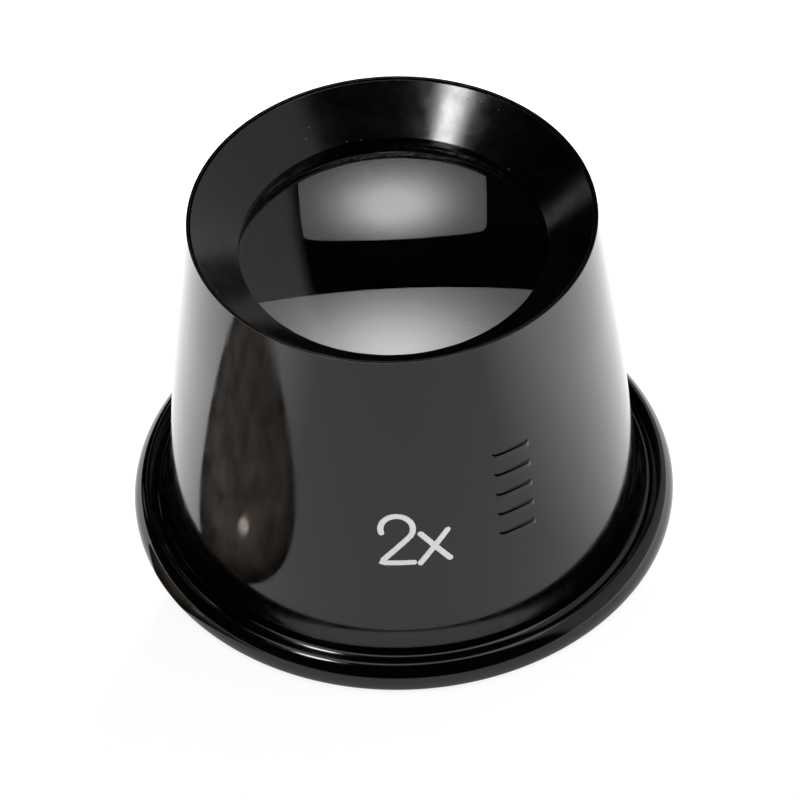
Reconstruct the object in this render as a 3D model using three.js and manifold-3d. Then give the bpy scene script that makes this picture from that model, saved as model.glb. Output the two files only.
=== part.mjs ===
// An eye loupe with a screwed-in lens cell, standing on its eye rim. Millimetres, +Z up.
// The origin is on the loupe's axis, in the plane that the eye rim rests on.
import * as THREE from "three";
import { mergeVertices } from "three/addons/utils/BufferGeometryUtils.js";
import Module from "manifold-3d";

const wasm = await Module();
wasm.setup();

// Driving dimensions.
const HEIGHT = 30; // eye rim to the front edge
const FRONT_R = 15.5; // outer radius of the front edge
const CONE_END_R = 18.27; // outer radius of the cone where it starts to flare into the brim
const CONE_END_Z = 3.8;
const CONE_BULGE = 0.2; // how far the middle of the cone stands out of a straight line
const WALL = 1.5; // wall of the cone, measured along the radius
const BRIM_R = 21.2;
const APERTURE_R = 11.7; // clear opening over the lens
const FACE_DEPTH = 2.95; // how far the dished face falls from its edge to the aperture
const LENS_R = 12.5;
const LENS_EDGE = 1.5; // thickness at the lens's edge
const LENS_SURFACE_R = 131; // both surfaces, for a focal length of 125 mm
const PITCH = 1.0; // of the thread between the cell and the body
const SEAT_Z = 28.0; // where the cell's flange rests in the body
const LIP = 0.2; // thickness of the body's lip round the flange, at the front edge

// The flare at the cone's foot, and the two rolled rings of the brim outside it.
const FLARE_R = 4.5;
const FLARE_END_DEG = 27.5;
const BRIM_ARC_R = 2.0; // rounding of the brim's outer face
const BRIM_ARC_Z = 0.55;
const SHOULDER_DEG = 45; // where the brim's outer face turns over into its shoulder
const SHOULDER_R = 1.1;
const BRIM_CREST_R = 0.2;
const STAND_ARC_R = 0.45; // rounding between the brim's outer face and the table
const STEP_R = 18.7; // centre of the step ring's outer arc
const STEP_Z = 0.87;
const STEP_ARC_R = 1.1;
const STEP_CREST_R = 0.12;
const CREST_DEG = 66; // where an outer arc tightens into its crest
const GROOVE_Z = 1.45; // bottom of the grooves on both sides of the step ring
const RIM_ARC_R = 0.9; // rounding of the eye opening
const EDGE_BREAK = 0.08; // small chamfers at the front edge

// Fits.
const FLANGE_GAP = 0.1; // between the flange and the lip round it, and under the flange
const LENS_GAP = 0.1; // round the lens in its pocket
const LENS_END_GAP = 0.05; // over and under the lens's edge

// The lens cell's flange and the barrel below it.
const FLANGE_R = FRONT_R - LIP - FLANGE_GAP;
const FACE_TOP_Z = HEIGHT - EDGE_BREAK;
const BARREL_END_Z = 22.2;
const POCKET_R = LENS_R + LENS_GAP;
const LENS_TOP_Z = 26.3; // top of the lens's edge
const LENS_BOTTOM_Z = LENS_TOP_Z - LENS_EDGE;

// The wire ring under the lens.
const WIRE_R = 0.4;
const RING_R = 12.45; // radius of the wire's centre line
const RING_Z = LENS_BOTTOM_Z - LENS_END_GAP - WIRE_R;
const RING_GAP_DEG = 24; // the split in the ring
const GROOVE_R = RING_R + WIRE_R + 0.05;
const GROOVE_HALF = WIRE_R + 0.04;

// Threads. The male ridge stands on the barrel, and the groove is cut in the body's bore.
const MALE_ROOT_R = 13.7;
const MALE_CREST_R = 14.1;
const BORE_R = 13.85;
const GROOVE_ROOT_R = 14.25;
const THREAD_SINK = 0.1; // how far a thread's section reaches past the wall that it joins or cuts
const MALE_ROOT_HALF = 0.34; // half widths of the ridge at its root and crest
const MALE_CREST_HALF = 0.1;
const CUT_MOUTH_HALF = 0.45; // half widths of the groove at the bore and at its root
const CUT_ROOT_HALF = 0.22;
const MALE_START_Z = 23.2;
const MALE_END_Z = 27.2;
const BORE_END_Z = 23.6;

const AROUND = 60; // segments of every turned surface, and steps in one turn of a thread

const BLACK_PLASTIC = { color: 0x0b0b0b, roughness: 0.16, metalness: 0 };
const CELL_PLASTIC = { color: 0x0c0d0d, roughness: 0.22, metalness: 0 };
const GLASS = { color: 0xe8efee, roughness: 0.02, metalness: 0 };
const SPRING_WIRE = { color: 0x2a2a2a, roughness: 0.4, metalness: 1 };

// Points of an arc about (cx, cy) between two angles in degrees.
function arc(cx, cy, radius, from, to, steps) {
  return Array.from({ length: steps + 1 }, (_, i) => {
    const angle = THREE.MathUtils.degToRad(from + ((to - from) * i) / steps);
    return [cx + radius * Math.cos(angle), cy + radius * Math.sin(angle)];
  });
}

// A solid turned about Z from a closed outline of [radius, height] points, anticlockwise.
function turned(outline) {
  const points = outline.map(([r, z]) => new THREE.Vector2(r, z));
  const closed = outline[0][0] > 0 || outline.at(-1)[0] > 0;
  if (closed) points.push(points[0].clone());
  return new THREE.LatheGeometry(points, AROUND).rotateX(Math.PI / 2);
}

// A ridge or cutter that winds up round Z. Its section is a trapezium between two radii.
function helix(innerR, outerR, innerHalf, outerHalf, startZ, endZ) {
  const steps = Math.round(((endZ - startZ) / PITCH) * AROUND);
  const section = [
    [innerR, -innerHalf],
    [outerR, -outerHalf],
    [outerR, outerHalf],
    [innerR, innerHalf],
  ];
  const position = [];
  const index = [];
  for (let i = 0; i <= steps; i++) {
    const turns = (startZ - SEAT_Z) / PITCH + i / AROUND;
    const angle = turns * 2 * Math.PI;
    for (const [r, z] of section)
      position.push(r * Math.cos(angle), r * Math.sin(angle), SEAT_Z + turns * PITCH + z);
  }
  for (let i = 0; i < steps; i++)
    for (let k = 0; k < 4; k++) {
      const a = 4 * i + k;
      const b = 4 * i + ((k + 1) % 4);
      index.push(a, b + 4, b, a, a + 4, b + 4);
    }
  const last = 4 * steps;
  index.push(0, 1, 2, 0, 2, 3, last, last + 2, last + 1, last, last + 3, last + 2);
  const geometry = new THREE.BufferGeometry();
  geometry.setAttribute("position", new THREE.Float32BufferAttribute(position, 3));
  geometry.setIndex(index);
  return geometry;
}

function solid(geometry) {
  const bare = geometry.clone();
  bare.deleteAttribute("normal");
  bare.deleteAttribute("uv");
  const merged = mergeVertices(bare, 1e-4);
  const made = new wasm.Manifold(
    new wasm.Mesh({
      numProp: 3,
      vertProperties: merged.attributes.position.array,
      triVerts: new Uint32Array(merged.index.array),
    }),
  );
  if (made.volume() <= 0) throw new Error("a solid is inside out");
  return made;
}

function geometryOf(made) {
  const mesh = made.getMesh();
  const geometry = new THREE.BufferGeometry();
  geometry.setAttribute("position", new THREE.BufferAttribute(mesh.vertProperties, 3));
  geometry.setIndex(new THREE.BufferAttribute(mesh.triVerts, 1));
  return geometry;
}

function named(name, geometry, look) {
  const shaded = geometry.index ? geometry.toNonIndexed() : geometry;
  shaded.computeVertexNormals();
  const mesh = new THREE.Mesh(shaded, new THREE.MeshStandardMaterial(look));
  mesh.name = name;
  return mesh;
}

// Outer radius of the cone at a height.
function coneR(z) {
  const down = (HEIGHT - z) / (HEIGHT - CONE_END_Z);
  return FRONT_R + (CONE_END_R - FRONT_R) * down + 4 * CONE_BULGE * down * (1 - down);
}

// A ring's outer arc, which tightens into a small crest and ends on the ring's upright inner side.
function rolled(cx, cy, radius, crestR, from, steps) {
  const crest = THREE.MathUtils.degToRad(CREST_DEG);
  const crestX = cx + (radius - crestR) * Math.cos(crest);
  const crestY = cy + (radius - crestR) * Math.sin(crest);
  return [
    ...arc(cx, cy, radius, from, CREST_DEG, steps),
    ...arc(crestX, crestY, crestR, (CREST_DEG + 180) / 2, 180, 1),
    [crestX - crestR, GROOVE_Z + 0.03],
  ];
}

// The concave arc from the groove inside the step ring up to the end of the cone.
function flare() {
  const slope = (CONE_END_R - FRONT_R - 4 * CONE_BULGE) / (HEIGHT - CONE_END_Z);
  const start = Math.atan(slope);
  const cx = CONE_END_R + FLARE_R * Math.cos(start);
  const cy = CONE_END_Z + FLARE_R * Math.sin(start);
  return arc(cx, cy, FLARE_R, 180 + FLARE_END_DEG, 180 + THREE.MathUtils.radToDeg(start), 4);
}

// How far the lens's surface stands proud of its edge at a radius.
function lensRise(r) {
  const sagitta = (x) => LENS_SURFACE_R - Math.sqrt(LENS_SURFACE_R ** 2 - x ** 2);
  return sagitta(LENS_R) - sagitta(r);
}

// The flared body with its rolled brim, the front lip round the cell's flange, and the bore.
function eyecupShell() {
  const lipR = FRONT_R - LIP;
  const cavityTop = BORE_END_Z - 0.8;
  const coneHeights = [10, 16, 22, HEIGHT - EDGE_BREAK];
  const cavityHeights = [cavityTop, 16, 10, CONE_END_Z];
  const rimR = CONE_END_R - WALL + 0.08;
  const shoulder = THREE.MathUtils.degToRad(SHOULDER_DEG);
  const shoulderX = BRIM_R - BRIM_ARC_R + (BRIM_ARC_R - SHOULDER_R) * Math.cos(shoulder);
  const shoulderY = BRIM_ARC_Z + (BRIM_ARC_R - SHOULDER_R) * Math.sin(shoulder);
  const outline = [
    ...arc(BRIM_R - STAND_ARC_R, STAND_ARC_R, STAND_ARC_R, -90, 0, 3),
    ...arc(BRIM_R - BRIM_ARC_R, BRIM_ARC_Z, BRIM_ARC_R, 0, SHOULDER_DEG, 4),
    ...rolled(shoulderX, shoulderY, SHOULDER_R, BRIM_CREST_R, SHOULDER_DEG + 10, 1),
    ...rolled(STEP_R, STEP_Z, STEP_ARC_R, STEP_CREST_R, 35, 3),
    [STEP_R + 0.12, GROOVE_Z],
    ...flare(),
    ...coneHeights.map((z) => [coneR(z), z]),
    [FRONT_R - EDGE_BREAK, HEIGHT],
    [lipR, HEIGHT],
    [lipR, SEAT_Z],
    [BORE_R, SEAT_Z],
    [BORE_R, BORE_END_Z],
    ...cavityHeights.map((z) => [coneR(z) - WALL, z]),
    ...arc(rimR + RIM_ARC_R, RIM_ARC_R, RIM_ARC_R, 180, 270, 3),
  ];
  const body = solid(turned(outline));
  const groove = helix(
    BORE_R - THREAD_SINK,
    GROOVE_ROOT_R,
    CUT_MOUTH_HALF,
    CUT_ROOT_HALF,
    BORE_END_Z - PITCH,
    SEAT_Z + PITCH,
  );
  return geometryOf(body.subtract(solid(groove)));
}

// The dished front ring that carries the lens: flange, aperture lip, lens pocket, ring groove and thread.
function lensCell() {
  const faceFoot = HEIGHT - FACE_DEPTH;
  const lipBottom = LENS_TOP_Z + lensRise(APERTURE_R) + LENS_END_GAP;
  const flangeBottom = SEAT_Z + FLANGE_GAP;
  const outline = [
    [POCKET_R, BARREL_END_Z + 0.2],
    [POCKET_R + 0.2, BARREL_END_Z],
    [MALE_ROOT_R - 0.3, BARREL_END_Z],
    [MALE_ROOT_R, BARREL_END_Z + 0.3],
    [MALE_ROOT_R, flangeBottom],
    [FLANGE_R, flangeBottom],
    [FLANGE_R, FACE_TOP_Z - 0.03],
    [FLANGE_R - 0.05, FACE_TOP_Z],
    [APERTURE_R + 0.06, faceFoot + 0.04],
    [APERTURE_R, faceFoot - 0.03],
    [APERTURE_R, lipBottom],
    [POCKET_R, lipBottom],
    [POCKET_R, RING_Z + GROOVE_HALF],
    [GROOVE_R, RING_Z + GROOVE_HALF],
    [GROOVE_R, RING_Z - GROOVE_HALF],
    [POCKET_R, RING_Z - GROOVE_HALF],
  ];
  const ridge = helix(
    MALE_ROOT_R - THREAD_SINK,
    MALE_CREST_R,
    MALE_ROOT_HALF,
    MALE_CREST_HALF,
    MALE_START_Z,
    MALE_END_Z,
  );
  return geometryOf(solid(turned(outline)).add(solid(ridge)));
}

// A lens with two equal convex surfaces and a small bevel at each edge.
function lens() {
  const bevel = 0.15;
  const rings = [0, 0.4, 0.75, 1].map((share) => share * (LENS_R - bevel));
  const top = (r) => LENS_TOP_Z + lensRise(r);
  const bottom = (r) => LENS_BOTTOM_Z - lensRise(r);
  return turned([
    ...rings.map((r) => [r, bottom(r)]),
    [LENS_R, LENS_BOTTOM_Z + bevel],
    [LENS_R, LENS_TOP_Z - bevel],
    ...rings.toReversed().map((r) => [r, top(r)]),
  ]);
}

// The split wire ring that snaps into the cell's groove under the lens.
function snapRing() {
  const sides = 8;
  const gap = THREE.MathUtils.degToRad(RING_GAP_DEG);
  const path = new THREE.Curve();
  path.getPoint = (share) => {
    const angle = gap / 2 + share * (2 * Math.PI - gap);
    return new THREE.Vector3(RING_R * Math.cos(angle), RING_R * Math.sin(angle), RING_Z);
  };
  const section = new THREE.Shape(
    arc(0, 0, WIRE_R, 0, 360 - 360 / sides, sides - 1).map(([x, y]) => new THREE.Vector2(x, y)),
  );
  return new THREE.ExtrudeGeometry(section, { steps: 48, extrudePath: path });
}

const loupe = new THREE.Group();
loupe.add(named("eyecup_shell", eyecupShell(), BLACK_PLASTIC));
loupe.add(named("lens_cell", lensCell(), CELL_PLASTIC));
loupe.add(named("lens", lens(), GLASS));
loupe.add(named("snap_ring", snapRing(), SPRING_WIRE));

export default loupe;
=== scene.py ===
"""A gloss-black eye loupe standing on its rim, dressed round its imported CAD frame.

Outlines are (radius, height) points in millimetres. Every mesh is made in metres, in the CAD frame.
"""

import math

import bpy
from mathutils import Matrix, Vector


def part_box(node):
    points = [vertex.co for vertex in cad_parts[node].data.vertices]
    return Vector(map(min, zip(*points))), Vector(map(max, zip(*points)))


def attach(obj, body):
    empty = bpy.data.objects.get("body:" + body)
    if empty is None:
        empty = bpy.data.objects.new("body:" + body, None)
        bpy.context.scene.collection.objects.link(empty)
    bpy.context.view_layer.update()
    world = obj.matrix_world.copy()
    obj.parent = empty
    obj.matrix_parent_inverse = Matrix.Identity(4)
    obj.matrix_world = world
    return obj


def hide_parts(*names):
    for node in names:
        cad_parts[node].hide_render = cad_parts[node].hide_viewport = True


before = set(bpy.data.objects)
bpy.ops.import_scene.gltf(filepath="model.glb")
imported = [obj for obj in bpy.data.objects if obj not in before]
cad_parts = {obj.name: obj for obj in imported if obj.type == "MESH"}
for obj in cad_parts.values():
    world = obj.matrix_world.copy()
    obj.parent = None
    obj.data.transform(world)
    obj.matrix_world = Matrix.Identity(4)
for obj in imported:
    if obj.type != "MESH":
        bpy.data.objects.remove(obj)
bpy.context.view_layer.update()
shell_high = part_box("eyecup_shell")[1]
lens_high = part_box("lens")[1]

MM = 0.001
AROUND = 288  # segments of every turned surface

# The body.
HEIGHT = shell_high.z / MM
FRONT_R = 15.5
EDGE_BREAK = 0.08  # how far the cell's face lies below the front edge
CONE_END_R = 18.27  # where the cone starts to flare into the brim
CONE_END_Z = 3.8
CONE_BULGE = 0.2  # how far the middle of the cone stands out of a straight line
WALL = 1.5
FLARE_R = 4.5
FLARE_END = 27.5  # degrees
GROOVE_Z = 1.45  # bottom of the grooves on both sides of the step ring
SEAT_Z = 28.0  # where the cell's flange rests
BORE_R = 13.85
BORE_END_Z = 23.6
BORE_RELIEF = 0.8  # height of the slope between the bore and the inner cone
RIM_ARC_R = 0.9  # rounding of the eye opening
RIM_FLARE = 0.08  # how far the eye opening stands out of the inner cone

# The brim and the step ring.
BRIM_R = shell_high.x / MM
BRIM_ARC_R = 2.0
BRIM_ARC_Z = 0.55
BRIM_CREST_R = 0.2
SHOULDER = 45.0  # degrees, where the brim's outer face turns over into its shoulder
SHOULDER_R = 1.1
STAND_ARC_R = 0.45  # rounding between the brim's outer face and the table
STEP_R = 18.7
STEP_Z = 0.87
STEP_ARC_R = 1.1
STEP_CREST_R = 0.12
CREST = 66.0  # degrees, where a ring's outer arc tightens into its crest

# The lens cell and its thread.
LIP = 0.2  # thickness of the body's lip round the flange
FLANGE_GAP = 0.1  # between the flange and the lip, and under the flange
FLANGE_R = FRONT_R - LIP - FLANGE_GAP
APERTURE_R = 11.7
FACE_DEPTH = 2.95
FACE_MIDDLE_R = 13.6  # a point on the sloping face, which keeps its shading even
BARREL_END_Z = 22.2
MALE_ROOT_R = 13.7
PITCH = 1.0
RIDGE = 0.4  # height of the thread's ridge, and depth of its groove
RIDGE_CREST = 0.1  # half width of the ridge's crest, and width of its flank, in turns
RIDGE_FLANK = 0.22
RIDGE_LOW_Z = 22.7  # the stretch of the barrel that carries the thread
RIDGE_HIGH_Z = 27.7
THREAD_STEP = 0.05  # height of each row of faces that carries a thread

# The lens, and the wire ring that holds it.
LENS_R = lens_high.x / MM
LENS_SURFACE_R = 131.0
LENS_EDGE_TOP_Z = 26.3
LENS_EDGE_BOTTOM_Z = 24.8
LENS_GAP = 0.1  # round the lens in its pocket
LEDGE_GAP = 0.13  # from the lens's edge up to the ledge over it
POCKET_R = LENS_R + LENS_GAP
WIRE_R = 0.4
WIRE_RING_R = 12.45
WIRE_Z = 24.35
WIRE_SPLIT = math.radians(24)
WIRE_GROOVE_R = WIRE_RING_R + WIRE_R + 0.05
WIRE_GROOVE_HALF = WIRE_R + 0.04

# The camera, aimed at a point in millimetres.
CAMERA_ELEVATION = 45.89
CAMERA_DISTANCE = 0.450
CAMERA_ROLL = -2.51
FOCAL_LENGTH = 262.4
SENSOR = 36.0
AIM = (0.0, -1.42, 11.63)

# The room and the table.
WALL_GREY = 0.63
BACKDROP = 0.95  # brightness of the room where the camera looks past the table
TABLE_SIZE = 6.0
TABLE_Z = -0.00002  # just under the rim, so that the two faces don't fight
# The table's glow is painted light, growing toward the sides and the back.
GLOW_START, GLOW_END = 13, 40  # how far to the side the table's glow starts and stops to grow
GLOW_LOW, GLOW_HIGH = 0.85, 1.90

# The softbox, in millimetres and degrees.
SOFTBOX_WAY = (-0.4, 59.6)  # azimuth and elevation
SOFTBOX_TILT = 10
SOFTBOX_DISTANCE = 600
SOFTBOX_AIM_Z = 26.6
SOFTBOX_SIZE = (232, 235)
SOFTBOX_CORNER = 12
SOFTBOX_DROP = 33.0  # how far its brightest spot lies below its middle
SOFTBOX_SPREAD = (44, 46)  # how far the brightness reaches from that spot
SOFTBOX_PEAK = 10.6
SOFTBOX_BASE = 1.3

LAMP_AIM_Z = 0.02  # metres


# ---------------------------------------------------------------- outlines and meshes


def arc(middle_r, middle_z, radius, start, end, steps):
    """Points of an arc between two angles in degrees."""
    angles = [math.radians(start + (end - start) * i / steps) for i in range(steps + 1)]
    return [(middle_r + radius * math.cos(a), middle_z + radius * math.sin(a), 0) for a in angles]


def rounded(corners, steps=5):
    """A closed outline from (radius, height, fillet) corners.

    Each fillet is a short arc, held by a point on each long side so that its shading stays narrow.
    """
    outline = []
    for i, (r, z, fillet) in enumerate(corners):
        here = Vector((r, z))
        if not fillet:
            outline.append((r, z))
            continue
        to_last = Vector(corners[i - 1][:2]) - here
        to_next = Vector(corners[(i + 1) % len(corners)][:2]) - here
        before, after = to_last.normalized(), to_next.normalized()
        half = before.angle(after) / 2
        reach = fillet / math.tan(half)
        held = 1.6 * reach
        middle = here + (before + after).normalized() * (fillet / math.sin(half))
        spoke = here + before * reach - middle
        turn = (math.pi - 2 * half) * (1 if before.cross(after) < 0 else -1)
        if to_last.length > 4 * held:
            outline.append(tuple(here + before * held))
        for k in range(steps + 1):
            point = middle + Matrix.Rotation(turn * k / steps, 2) @ spoke
            outline.append((point.x, point.y))
        if to_next.length > 4 * held:
            outline.append(tuple(here + after * held))
    return outline


def stepped(r, start_z, end_z):
    """Corners up or down a straight wall, close enough together to carry a thread."""
    count = round(abs(end_z - start_z) / THREAD_STEP)
    return [(r, start_z + (end_z - start_z) * i / count, 0) for i in range(count + 1)]


def piece(name, vertices, faces, material, body, stands_for=None, sharp=35):
    """A smooth-shaded object from millimetre vertices, riding on a CAD body."""
    mesh = bpy.data.meshes.new(name)
    mesh.from_pydata([Vector(v) * MM for v in vertices], [], faces)
    mesh.validate()
    mesh.polygons.foreach_set("use_smooth", [True] * len(mesh.polygons))
    mesh.set_sharp_from_angle(angle=math.radians(sharp))
    mesh.materials.append(material)
    made = bpy.data.objects.new(name, mesh)
    bpy.context.scene.collection.objects.link(made)
    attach(made, body)
    if stands_for:
        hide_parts(stands_for)
    return made


def spun(outline, shift=None):
    """Vertices and faces of an outline turned about Z.

    shift(radius, height, turn) says how far a point moves out of its place.
    """
    rows = len(outline)
    vertices = []
    for i in range(AROUND):
        turn = i / AROUND
        angle = 2 * math.pi * turn
        for r, z in outline:
            out = r + (shift(r, z, turn) if shift else 0)
            vertices.append((out * math.cos(angle), out * math.sin(angle), z))
    faces = []
    for i in range(AROUND):
        here, there = i * rows, (i + 1) % AROUND * rows
        for k in range(rows):
            after = (k + 1) % rows
            faces.append((here + k, there + k, there + after, here + after))
    return vertices, faces


def thread(z, turn):
    """How much of a thread's ridge stands at a height and turn: a trapezium, 0 to 1."""
    phase = ((z - SEAT_Z) / PITCH - turn) % 1.0
    from_crest = min(phase, 1 - phase)
    return 1 - min(max((from_crest - RIDGE_CREST) / RIDGE_FLANK, 0), 1)


def ease(value, start, end):
    """0 at start, 1 at end, and smooth between."""
    share = min(max((value - start) / (end - start), 0), 1)
    return share * share * (3 - 2 * share)


def cone_r(z):
    """Outer radius of the cone at a height."""
    down = (HEIGHT - z) / (HEIGHT - CONE_END_Z)
    return FRONT_R + (CONE_END_R - FRONT_R) * down + 4 * CONE_BULGE * down * (1 - down)


def rolled(middle_r, middle_z, radius, crest_r, start, steps):
    """A ring's outer arc, tightening into a small crest that drops to the groove inside the ring."""
    crest = math.radians(CREST)
    r = middle_r + (radius - crest_r) * math.cos(crest)
    z = middle_z + (radius - crest_r) * math.sin(crest)
    return [
        *arc(middle_r, middle_z, radius, start, CREST, steps),
        *arc(r, z, crest_r, CREST + 12, 180, steps=9),
        (r - crest_r, GROOVE_Z + 0.01, 0.05),
    ]


def flare():
    """The concave arc from the groove inside the step ring up to the end of the cone."""
    start = math.atan((CONE_END_R - FRONT_R - 4 * CONE_BULGE) / (HEIGHT - CONE_END_Z))
    middle_r = CONE_END_R + FLARE_R * math.cos(start)
    middle_z = CONE_END_Z + FLARE_R * math.sin(start)
    return arc(middle_r, middle_z, FLARE_R, 180 + FLARE_END, 180 + math.degrees(start), steps=16)


# ---------------------------------------------------------------- materials


class Nodes:
    """A node tree under construction, of a material or of the world."""

    def __init__(self, tree):
        self.tree = tree

    def node(self, kind, **settings):
        made = self.tree.nodes.new(kind)
        for key, value in settings.items():
            setattr(made, key, value)
        return made

    def link(self, source, target):
        self.tree.links.new(source, target)

    def maths(self, operation, first, second=0):
        made = self.node("ShaderNodeMath", operation=operation)
        for socket, value in zip(made.inputs, (first, second)):
            if isinstance(value, (int, float)):
                socket.default_value = value
            else:
                self.link(value, socket)
        return made.outputs[0]

    def vectors(self, operation, first, second=(0, 0, 0)):
        """Vector maths of a socket and a fixed vector. It gives a number where the operation does."""
        made = self.node("ShaderNodeVectorMath", operation=operation)
        self.link(first, made.inputs[0])
        made.inputs[1].default_value = second
        number = operation in ("LENGTH", "DISTANCE", "DOT_PRODUCT")
        return made.outputs["Value" if number else "Vector"]

    def ramp(self, source, low, high, to_low, to_high, kind="LINEAR"):
        made = self.node("ShaderNodeMapRange", interpolation_type=kind)
        made.inputs["From Min"].default_value = low
        made.inputs["From Max"].default_value = high
        made.inputs["To Min"].default_value = to_low
        made.inputs["To Max"].default_value = to_high
        self.link(source, made.inputs["Value"])
        return made.outputs["Result"]


class Look(Nodes):
    """A material under construction. Its coordinates are the piece's own, in millimetres."""

    def __init__(self, name):
        self.material = bpy.data.materials.new(name)
        self.material.use_nodes = True
        super().__init__(self.material.node_tree)
        self.shader = self.tree.nodes["Principled BSDF"]
        place = self.node("ShaderNodeTexCoord")
        self.place = self.vectors("MULTIPLY", place.outputs["Object"], (1 / MM, 1 / MM, 1 / MM))

    def set(self, **values):
        """Sets the shader's own sockets. Underscores in a name stand for spaces."""
        for key, value in values.items():
            self.shader.inputs[key.replace("_", " ")].default_value = value

    def drive(self, socket, source):
        """Links a source to one of the shader's sockets."""
        self.link(source, self.shader.inputs[socket])

    def noise(self, scale, detail=3.0, roughness=0.5, place=None):
        made = self.node("ShaderNodeTexNoise")
        made.inputs["Scale"].default_value = scale
        made.inputs["Detail"].default_value = detail
        made.inputs["Roughness"].default_value = roughness
        self.link(place or self.place, made.inputs["Vector"])
        return made.outputs["Fac"]

    def radial(self):
        """Distance from the axis, as a point on X, so that what it drives runs in rings."""
        flat = self.vectors("MULTIPLY", self.place, (1, 1, 0))
        joined = self.node("ShaderNodeCombineXYZ")
        self.link(self.vectors("LENGTH", flat), joined.inputs["X"])
        return joined.outputs[0]

    def specks(self, spacing, size):
        """A mask of small round specks, about one to each cell of the spacing."""
        cells = self.node("ShaderNodeTexVoronoi")
        cells.inputs["Scale"].default_value = 1 / spacing
        cells.inputs["Randomness"].default_value = 1.0
        self.link(self.place, cells.inputs["Vector"])
        return self.ramp(cells.outputs["Distance"], size / spacing * 0.5, size / spacing, 1, 0)

    def dust(self, spacing, size, patches, low, high):
        """Specks that lie only in patches of a noise's scale, where it is over low."""
        return self.maths(
            "MULTIPLY", self.specks(spacing, size), self.ramp(self.noise(patches), low, high, 0, 1)
        )

    def mixed(self, factor, first, second):
        made = self.node("ShaderNodeMix", data_type="RGBA")
        self.link(factor, made.inputs["Factor"])
        made.inputs["A"].default_value = (*first, 1)
        made.inputs["B"].default_value = (*second, 1)
        return made.outputs["Result"]

    def bump(self, heights):
        """Stacks (height socket, depth in millimetres, strength) bumps onto the shader."""
        normal = None
        for height, depth, strength in heights:
            made = self.node("ShaderNodeBump")
            made.inputs["Strength"].default_value = strength
            made.inputs["Distance"].default_value = depth * MM
            self.link(height, made.inputs["Height"])
            if normal:
                self.link(normal, made.inputs["Normal"])
            normal = made.outputs["Normal"]
        self.drive("Normal", normal)

    def emit(self, strength, colour=None):
        """Makes the material give light alone, in place of its shader."""
        glow = self.node("ShaderNodeEmission")
        self.link(strength, glow.inputs["Strength"])
        if colour:
            self.link(colour, glow.inputs["Color"])
        self.link(glow.outputs[0], self.tree.nodes["Material Output"].inputs["Surface"])
        self.tree.nodes.remove(self.shader)


def body_plastic():
    """Injection-moulded black plastic: deep gloss, slow mould waviness, faint rubs and dust."""
    look = Look("body_plastic")
    look.set(IOR=1.475)
    rubs = look.noise(0.9, 6.0, 0.6, look.vectors("MULTIPLY", look.place, (1, 1, 0.35)))
    gloss = look.ramp(rubs, 0.35, 0.7, 0.07, 0.15)
    dust = look.dust(1.7, 0.05, 0.5, 0.5, 0.62)
    look.drive("Base Color", look.mixed(dust, (0.0012, 0.0012, 0.001), (0.20, 0.20, 0.19)))
    look.drive("Roughness", look.maths("ADD", gloss, look.maths("MULTIPLY", dust, 0.4)))
    look.bump([(look.noise(0.11, 1.5), 0.10, 0.25), (look.noise(5.0, 4.0), 0.002, 0.25)])
    return look.material


def cell_plastic():
    """The turned cell: fine ring marks, a slightly softer gloss, and dust lying in the dish."""
    look = Look("cell_plastic")
    look.set(IOR=1.5)
    rings = look.noise(9.0, 4.0, 0.65, look.radial())
    gloss = look.ramp(look.noise(0.6, 5.0, 0.6), 0.3, 0.7, 0.13, 0.22)
    dust = look.dust(1.15, 0.07, 0.35, 0.45, 0.6)
    look.drive("Base Color", look.mixed(dust, (0.001, 0.0012, 0.0012), (0.24, 0.25, 0.25)))
    look.drive("Roughness", look.maths("ADD", gloss, look.maths("MULTIPLY", dust, 0.4)))
    look.bump([(rings, 0.006, 0.35), (look.noise(0.2, 2.0), 0.04, 0.2)])
    return look.material


def lens_glass():
    """Clear crown glass with a faint haze."""
    look = Look("lens_glass")
    look.set(Base_Color=(0.975, 0.99, 0.985, 1), IOR=1.52, Transmission_Weight=1.0)
    look.drive("Roughness", look.ramp(look.noise(0.5, 5.0, 0.6), 0.45, 0.75, 0.0, 0.03))
    return look.material


def spring_wire():
    """Black-oxide spring wire with fine drawn lines, rubbed paler here and there."""
    look = Look("spring_wire")
    look.set(Metallic=1.0)
    tarnish = look.ramp(look.noise(1.4, 5.0), 0.4, 0.7, 0, 1)
    look.drive("Base Color", look.mixed(tarnish, (0.020, 0.020, 0.022), (0.085, 0.08, 0.075)))
    look.drive("Roughness", look.ramp(look.noise(8.0, 3.0), 0.3, 0.7, 0.24, 0.42))
    look.bump([(look.noise(14.0, 2.0, 0.5, look.radial()), 0.004, 0.4)])
    return look.material


def white_ink():
    """Pad-printed white, a little uneven and slightly worn."""
    look = Look("white_ink")
    look.set(IOR=1.45)
    worn = look.ramp(look.noise(4.0, 5.0, 0.65), 0.52, 0.8, 0, 0.7)
    look.drive("Base Color", look.mixed(worn, (0.93, 0.95, 0.96), (0.70, 0.70, 0.70)))
    look.drive("Roughness", look.ramp(look.noise(9.0, 3.0), 0.3, 0.7, 0.35, 0.55))
    look.bump([(look.noise(12.0, 3.0), 0.004, 0.5)])
    return look.material


# ---------------------------------------------------------------- pieces


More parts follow.
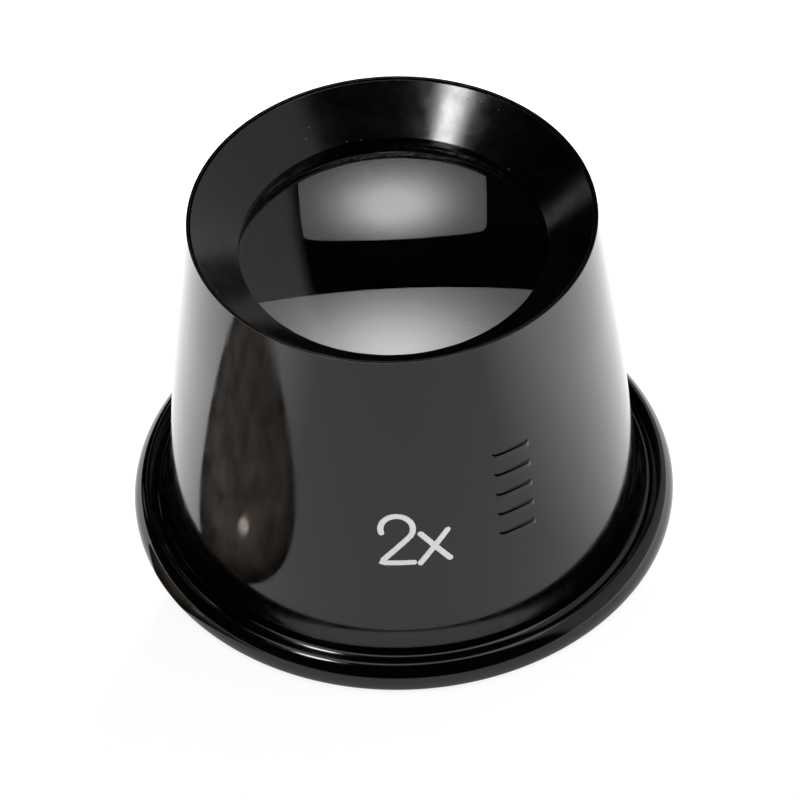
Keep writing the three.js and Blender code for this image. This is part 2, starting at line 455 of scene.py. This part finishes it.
def eyecup(material):
    """The flared body: brim, step ring, cone, front lip, threaded bore and the inner cone."""
    lip_r = FRONT_R - LIP
    cavity_top = BORE_END_Z - BORE_RELIEF
    cone_heights = [CONE_END_Z + (HEIGHT - CONE_END_Z) * i / 24 for i in range(1, 24)]
    cavity_heights = [cavity_top + (CONE_END_Z - cavity_top) * i / 12 for i in range(1, 13)]
    rim_r = CONE_END_R - WALL + RIM_FLARE
    brim_middle_r = BRIM_R - BRIM_ARC_R
    shoulder = math.radians(SHOULDER)
    shoulder_r = brim_middle_r + (BRIM_ARC_R - SHOULDER_R) * math.cos(shoulder)
    shoulder_z = BRIM_ARC_Z + (BRIM_ARC_R - SHOULDER_R) * math.sin(shoulder)
    outline = rounded(
        [
            *arc(BRIM_R - STAND_ARC_R, STAND_ARC_R, STAND_ARC_R, -90, -6, steps=8),
            *arc(brim_middle_r, BRIM_ARC_Z, BRIM_ARC_R, 0, SHOULDER, steps=22),
            *rolled(shoulder_r, shoulder_z, SHOULDER_R, BRIM_CREST_R, SHOULDER + 2, steps=12),
            *rolled(STEP_R, STEP_Z, STEP_ARC_R, STEP_CREST_R, 35, steps=14),
            (STEP_R + 0.12, GROOVE_Z, 0.04),
            *flare(),
            *[(cone_r(z), z, 0) for z in cone_heights],
            (FRONT_R, HEIGHT, 0.03),
            (lip_r, HEIGHT, 0.02),
            (lip_r, SEAT_Z, 0.08),
            (BORE_R, SEAT_Z, 0.08),
            *stepped(BORE_R, SEAT_Z - 0.1, BORE_END_Z + 0.1),
            (BORE_R, BORE_END_Z, 0),
            (cone_r(cavity_top) - WALL, cavity_top, 0.3),
            *[(cone_r(z) - WALL, z, 0) for z in cavity_heights],
            *arc(rim_r + RIM_ARC_R, RIM_ARC_R, RIM_ARC_R, 180, 270, steps=10),
        ]
    )

    def groove(r, z, turn):
        inside = abs(r - BORE_R) < 0.02 and BORE_END_Z < z < SEAT_Z
        return RIDGE * thread(z, turn) if inside else 0

    vertices, faces = spun(outline, groove)
    return piece("eyecup_body", vertices, faces, material, "eyecup", "eyecup_shell")


def cell(material):
    """The dished ring: turned face, aperture, lens pocket, wire groove and threaded barrel."""
    face_top = HEIGHT - EDGE_BREAK
    face_foot = HEIGHT - FACE_DEPTH
    face_share = (FACE_MIDDLE_R - APERTURE_R) / (FLANGE_R - APERTURE_R)
    flange_z = SEAT_Z + FLANGE_GAP
    ledge_z = LENS_EDGE_TOP_Z + LEDGE_GAP
    outline = rounded(
        [
            (POCKET_R, BARREL_END_Z, 0.2),
            (MALE_ROOT_R, BARREL_END_Z, 0.3),
            *stepped(MALE_ROOT_R, RIDGE_LOW_Z, RIDGE_HIGH_Z),
            (MALE_ROOT_R - 0.1, flange_z, 0.1),
            (FLANGE_R, flange_z, 0.08),
            (FLANGE_R, face_top, 0.03),
            (FACE_MIDDLE_R, face_foot + (face_top - face_foot) * face_share, 0),
            (APERTURE_R, face_foot, 0.05),
            (APERTURE_R, ledge_z, 0.05),
            (POCKET_R, ledge_z, 0.05),
            (POCKET_R, WIRE_Z + WIRE_GROOVE_HALF, 0.05),
            (WIRE_GROOVE_R, WIRE_Z + WIRE_GROOVE_HALF, 0.05),
            (WIRE_GROOVE_R, WIRE_Z - WIRE_GROOVE_HALF, 0.05),
            (POCKET_R, WIRE_Z - WIRE_GROOVE_HALF, 0.05),
        ]
    )

    def ridge(r, z, turn):
        if abs(r - MALE_ROOT_R) > 0.02 or not RIDGE_LOW_Z < z < RIDGE_HIGH_Z:
            return 0
        start = ease(z, RIDGE_LOW_Z + 0.2, RIDGE_LOW_Z + 0.7)
        end = ease(z, RIDGE_HIGH_Z - 0.8, RIDGE_HIGH_Z - 0.3)
        return RIDGE * start * (1 - end) * thread(z, turn)

    vertices, faces = spun(outline, ridge)
    return piece("dished_cell", vertices, faces, material, "cell", "lens_cell")


def lens(material):
    """The glass: two spherical surfaces, a small bevel and a cylinder edge."""
    bevel = 0.15
    rings = 40

    def rise(r):
        return math.sqrt(LENS_SURFACE_R**2 - r**2) - math.sqrt(LENS_SURFACE_R**2 - LENS_R**2)

    radii = [(LENS_R - bevel) * i / rings for i in range(1, rings + 1)]
    outline = [(r, LENS_EDGE_BOTTOM_Z - rise(r)) for r in radii]
    outline += [(LENS_R, LENS_EDGE_BOTTOM_Z + bevel), (LENS_R, LENS_EDGE_TOP_Z - bevel)]
    outline += [(r, LENS_EDGE_TOP_Z + rise(r)) for r in reversed(radii)]
    vertices, faces = spun(outline)
    # The faces between the two innermost rings give way to a fan round each pole.
    last = len(outline) - 1
    rows = len(outline)
    faces = [f for f in faces if {f[0] % rows, f[3] % rows} != {0, last}]
    for row, z in ((0, LENS_EDGE_BOTTOM_Z - rise(0)), (last, LENS_EDGE_TOP_Z + rise(0))):
        vertices.append((0, 0, z))
        for i in range(AROUND):
            ends = (i * rows + row, (i + 1) % AROUND * rows + row)
            faces.append((len(vertices) - 1, *(ends[::-1] if row == 0 else ends)))
    return piece("loupe_lens", vertices, faces, material, "lens", "lens", sharp=20)


def wire_ring(material):
    """The split wire ring, with domed ends."""
    sides, steps, dome = 20, 180, 5
    turns = [WIRE_SPLIT / 2 + (2 * math.pi - WIRE_SPLIT) * i / steps for i in range(steps + 1)]
    ends = []
    for k in range(1, dome):
        lift = math.pi / 2 * k / dome
        ends.append((WIRE_R * 0.6 * math.sin(lift) / WIRE_RING_R, WIRE_R * math.cos(lift)))
    stations = [
        *[(turns[0] - along, thin) for along, thin in reversed(ends)],
        *[(angle, WIRE_R) for angle in turns],
        *[(turns[-1] + along, thin) for along, thin in ends],
    ]
    vertices = []
    for angle, thin in stations:
        for k in range(sides):
            side = 2 * math.pi * k / sides
            r = WIRE_RING_R + thin * math.cos(side)
            vertices.append((r * math.cos(angle), r * math.sin(angle), WIRE_Z + thin * math.sin(side)))
    faces = []
    for i in range(len(stations) - 1):
        for k in range(sides):
            a, b = i * sides + k, i * sides + (k + 1) % sides
            faces.append((a, a + sides, b + sides, b))
    last = (len(stations) - 1) * sides
    faces.append(tuple(range(sides)))
    faces.append(tuple(last + k for k in reversed(range(sides))))
    return piece("retaining_wire", vertices, faces, material, "cell", "snap_ring", sharp=50)


def on_cone(across, height, proud, heading):
    """A point on the cone, from a distance across it, a height, and a heading in degrees from the front."""
    r = cone_r(height) + proud
    angle = math.radians(heading) + across / cone_r(height)
    return (r * math.sin(angle), -r * math.cos(angle), height)


def resampled(path, step=0.08):
    """The same path with a point every step."""
    out = [Vector(path[0])]
    for start, end in zip(path, path[1:]):
        start, end = Vector(start), Vector(end)
        count = max(1, round((end - start).length / step))
        out += [start.lerp(end, (i + 1) / count) for i in range(count)]
    return out


def stroke(points, half_width, proud, foot_z):
    """A flat printed stroke on the front of the cone, with round ends and its edges sunk in."""
    rows = []  # middle, direction across the stroke, and width, for each row of vertices
    for i, here in enumerate(points):
        ahead = points[min(i + 1, len(points) - 1)] - here
        behind = here - points[max(i - 1, 0)]
        tangent = (ahead.normalized() + behind.normalized()).normalized()
        widen = 1 / max(0.45, tangent.dot((ahead if ahead.length else behind).normalized()))
        rows.append((here, Vector((-tangent.y, tangent.x)), widen))

    def cap(end, sign):
        middle, side, _ = rows[end]
        out = Vector((side.y, -side.x)) * (sign * half_width)
        turns = [math.pi / 2 * k / 5 for k in range(1, 6)]
        return [(middle + out * math.sin(a), side, math.cos(a)) for a in turns]

    rows = [*reversed(cap(0, -1)), *rows, *cap(-1, 1)]
    spread = (-1.0, -0.94, -0.5, 0.0, 0.5, 0.94, 1.0)
    lift = (-0.5, 0.9, 1.0, 1.0, 1.0, 0.9, -0.5)
    vertices, faces = [], []
    for middle, side, widen in rows:
        for s, h in zip(spread, lift):
            at = middle + side * (s * half_width * max(widen, 0.02))
            vertices.append(on_cone(at.x, foot_z + at.y, proud * h, 0.0))
    wide = len(spread)
    for i in range(len(rows) - 1):
        for k in range(wide - 1):
            a = i * wide + k
            faces.append((a, a + 1, a + wide + 1, a + wide))
    return vertices, faces


def power_mark(material):
    """The power, 2x, in plain strokes printed on the front of the cone."""
    half_width, foot_z = 0.24, 10.75
    two_x, cross_x = -0.68, 2.15
    angles = [math.radians(a) for a in range(196, -41, -6)]
    hook = [(1.22 * math.cos(a), 3.42 + 1.28 * math.sin(a)) for a in angles]
    neck = [(-1.05, 0.42), (-1.16, 0.12)]
    foot = [(-1.0, 0.06), (1.2, 0.06)]
    strokes = [
        (two_x, resampled([*hook, *neck]) + resampled(foot), 0.030),
        (cross_x, resampled([(-1.05, 2.85), (1.12, 0.1)]), 0.030),
        (cross_x, resampled([(1.0, 2.95), (-1.12, -0.05)]), 0.034),
    ]
    vertices, faces = [], []
    for shift, path, proud in strokes:
        moved = [p + Vector((shift, 0)) for p in path]
        more, over = stroke(moved, half_width, proud, foot_z)
        faces += [tuple(i + len(vertices) for i in face) for face in over]
        vertices += more
    return piece("power_mark", vertices, faces, material, "eyecup", sharp=80)


def tick_bars(material):
    """Five plain raised bars, one over the other, on the right of the cone."""
    heading, lowest_z, spacing = 28.8, 11.6, 1.95
    half_length, half_width, proud = 1.65, 0.36, 0.20
    long_steps, wide_steps = 36, 10
    for number in range(5):
        base = lowest_z + spacing * number
        vertices, faces = [], []
        for i in range(long_steps + 1):
            along = -1 + 2 * i / long_steps
            for k in range(wide_steps + 1):
                over = -1 + 2 * k / wide_steps
                edge = max(abs(along) ** 10, abs(over) ** 3.2)
                lift = proud * (0.96 - 1.2 * edge)
                vertices.append(on_cone(along * half_length, base + over * half_width, lift, heading))
        wide = wide_steps + 1
        for i in range(long_steps):
            for k in range(wide_steps):
                a = i * wide + k
                faces.append((a, a + wide, a + wide + 1, a + 1))
        piece(f"tick_bar_{number + 1}", vertices, faces, material, "eyecup", sharp=60)


# ---------------------------------------------------------------- camera, room and lights


def camera():
    lens_data = bpy.data.cameras.new("camera")
    lens_data.sensor_width = SENSOR
    lens_data.lens = FOCAL_LENGTH
    lens_data.clip_start = 0.01
    eye = bpy.data.objects.new("camera", lens_data)
    bpy.context.scene.collection.objects.link(eye)
    elevation = math.radians(CAMERA_ELEVATION)
    away = Vector((0, -math.cos(elevation), math.sin(elevation)))
    eye.location = Vector(AIM) * MM + away * CAMERA_DISTANCE
    turn = away.to_track_quat("Z", "Y").to_matrix()
    roll = Matrix.Rotation(math.radians(CAMERA_ROLL), 3, "Z")
    eye.rotation_euler = (turn @ roll).to_euler()
    bpy.context.scene.camera = eye


def floor():
    """A plain pale table. It glows, except under the loupe, so that the loupe throws little shadow; the glow
    is painted light, brighter toward the sides and the back.
    """
    bpy.ops.mesh.primitive_plane_add(size=TABLE_SIZE, location=(0, 0, TABLE_Z))
    table = bpy.context.object
    table.name = "table"
    look = Look("table_painted_glow")
    look.drive("Base Color", look.mixed(look.noise(0.02), (0.22, 0.22, 0.22), (0.23, 0.23, 0.225)))
    look.set(Roughness=0.7, Specular_IOR_Level=0.1, Emission_Color=(1, 1, 1, 1))
    # The painted glow is left out under the loupe.
    outside = look.ramp(look.vectors("LENGTH", look.place), CONE_END_R - 0.6, CONE_END_R + 0.2, 0, 1)
    # Painted light: the glow grows toward the sides and the back of the table.
    split = look.node("ShaderNodeSeparateXYZ")
    look.link(look.place, split.inputs[0])
    sideways = look.maths("ABSOLUTE", split.outputs["X"])
    out = look.maths("ADD", sideways, look.maths("MULTIPLY", split.outputs["Y"], 0.5))
    glow = look.ramp(out, GLOW_START, GLOW_END, GLOW_LOW, GLOW_HIGH)
    look.drive("Emission Strength", look.maths("MULTIPLY", outside, glow))
    table.data.materials.append(look.material)


def room():
    """A plain grey wall behind the loupe on its right, black elsewhere, and a pale backdrop."""
    # Each cut is a direction, where the wall starts along it, and how softly.
    right_cut = ((1.0, 0.0, -0.12), 0.112, 0.02)
    rear_cut = ((0.5, 0.866, 0.06), 0.0, 0.045)
    world = bpy.data.worlds.new("room")
    world.use_nodes = True
    bpy.context.scene.world = world
    nodes = Nodes(world.node_tree)
    ways = nodes.node("ShaderNodeTexCoord").outputs["Generated"]
    shares = [
        nodes.ramp(nodes.vectors("DOT_PRODUCT", ways, side), edge - soft, edge + soft, 0, 1, "SMOOTHSTEP")
        for side, edge, soft in (right_cut, rear_cut)
    ]
    wall = nodes.maths("MULTIPLY", nodes.maths("MULTIPLY", *shares), WALL_GREY)
    seen = nodes.node("ShaderNodeMix", data_type="FLOAT")
    nodes.link(nodes.node("ShaderNodeLightPath").outputs["Is Camera Ray"], seen.inputs["Factor"])
    nodes.link(wall, seen.inputs["A"])
    seen.inputs["B"].default_value = BACKDROP
    background = world.node_tree.nodes["Background"]
    background.inputs["Color"].default_value = (1, 1, 1, 1)
    nodes.link(seen.outputs["Result"], background.inputs["Strength"])


def towards(azimuth, elevation):
    """A unit vector. Azimuth 0 is behind the loupe and 90 is on its right."""
    a, e = math.radians(azimuth), math.radians(elevation)
    return Vector((math.cos(e) * math.sin(a), math.cos(e) * math.cos(a), math.sin(e)))


def lamp(name, azimuth, elevation, distance, width, height, radiance, shape="RECTANGLE", **seen_by):
    """An area lamp that faces the loupe, sized in metres and given by how bright it looks."""
    data = bpy.data.lights.new(name, "AREA")
    data.shape = shape
    data.size, data.size_y = width, height
    area = width * height * (math.pi / 4 if shape in ("DISK", "ELLIPSE") else 1)
    data.energy = radiance * math.pi * area
    made = bpy.data.objects.new(name, data)
    bpy.context.scene.collection.objects.link(made)
    direction = towards(azimuth, elevation)
    made.location = direction * distance + Vector((0, 0, LAMP_AIM_Z))
    made.rotation_euler = direction.to_track_quat("Z", "Y").to_euler()
    made.visible_camera = False
    for ray, visible in seen_by.items():
        setattr(made, "visible_" + ray, visible)


def card(name, outline, look, unseen_by):
    """A flat card, from (across, up) points in millimetres, that some kinds of ray don't see."""
    mesh = bpy.data.meshes.new(name)
    mesh.from_pydata([(x * MM, y * MM, 0) for x, y in outline], [], [tuple(range(len(outline)))])
    mesh.materials.append(look.material)
    made = bpy.data.objects.new(name, mesh)
    bpy.context.scene.collection.objects.link(made)
    for ray in unseen_by:
        setattr(made, "visible_" + ray, False)
    return made


def softbox():
    """The box over the back of the table, brightest below its middle, and seen twice in the lens."""
    width, height = SOFTBOX_SIZE
    outline = []
    for x, y, start in ((1, 1, 0), (-1, 1, 90), (-1, -1, 180), (1, -1, 270)):
        for step in range(7):
            angle = math.radians(start + 15 * step)
            across = x * (width / 2 - SOFTBOX_CORNER) + SOFTBOX_CORNER * math.cos(angle)
            up = y * (height / 2 - SOFTBOX_CORNER) + SOFTBOX_CORNER * math.sin(angle)
            outline.append((across, up))
    look = Look("softbox_cloth")
    from_spot = look.vectors("ADD", look.place, (0, SOFTBOX_DROP, 0))
    spreads = look.vectors("MULTIPLY", from_spot, (1 / SOFTBOX_SPREAD[0], 1 / SOFTBOX_SPREAD[1], 0))
    squared = look.maths("POWER", look.vectors("LENGTH", spreads), 2.0)
    bell = look.maths("EXPONENT", look.maths("MULTIPLY", squared, -0.5))
    look.emit(look.maths("ADD", look.maths("MULTIPLY", bell, SOFTBOX_PEAK), SOFTBOX_BASE))
    made = card("softbox", outline, look, ("camera", "diffuse"))
    azimuth, elevation = SOFTBOX_WAY
    made.location = (towards(azimuth, elevation) * SOFTBOX_DISTANCE + Vector((0, 0, SOFTBOX_AIM_Z))) * MM
    facing = towards(azimuth, elevation + SOFTBOX_TILT)
    made.rotation_euler = facing.to_track_quat("Z", "Y").to_euler()


def neighbour():
    """Something dark brown that lies to the front left, seen only as a reflection in the cone: a card of its
    own light, a painted reflection, with a painted glint.
    """
    half_long, half_wide = 22.0, 15.6
    middle, turned = (-39.0, -16.6, 0.2), 8
    glint = (14.6, 0.4, 0)
    angles = [2 * math.pi * i / 72 for i in range(72)]
    outline = [(half_long * math.cos(a), half_wide * math.sin(a)) for a in angles]
    look = Look("neighbour_brown")
    mottled = look.ramp(look.noise(0.22, 4.0, 0.6), 0.35, 0.65, 0, 1)
    colour = look.mixed(mottled, (0.17, 0.14, 0.12), (0.52, 0.45, 0.40))
    out = look.vectors("LENGTH", look.vectors("MULTIPLY", look.place, (1 / half_long, 1 / half_wide, 0)))
    # The card gives its own light, dimmer toward its edge: a painted reflection.
    inside = look.ramp(out, 0.80, 0.98, 1.0, 0.12)
    # A painted glint, where the key lamp would shine on the real thing.
    gleam = look.ramp(look.vectors("DISTANCE", look.place, glint), 0.6, 1.3, 14.0, 0)
    look.emit(look.maths("ADD", inside, gleam), colour)
    made = card("neighbour", outline, look, ("camera", "diffuse", "transmission", "shadow"))
    made.location = Vector(middle) * MM
    made.rotation_euler.z = math.radians(turned)


def lights():
    lamp("key", 227.8, 55.1, 0.6, 0.11, 0.11, 28, shape="DISK", diffuse=False)
    lamp("overhead_fill", 180, 85, 0.7, 1.2, 1.2, 1.25, glossy=False, transmission=False)
    lamp("overhead_glow", 180, 85.9, 0.7, 0.8, 0.3, 1.7, diffuse=False, transmission=False)
    lamp("side_gleam", 308.5, 15.7, 0.6, 0.09, 0.12, 0.6, shape="ELLIPSE", diffuse=False, transmission=False)
    softbox()


bpy.context.scene.view_settings.view_transform = "Standard"
camera()
floor()
room()
lights()
neighbour()

black = body_plastic()
eyecup(black)
cell(cell_plastic())
lens(lens_glass())
wire_ring(spring_wire())
power_mark(white_ink())
tick_bars(black)
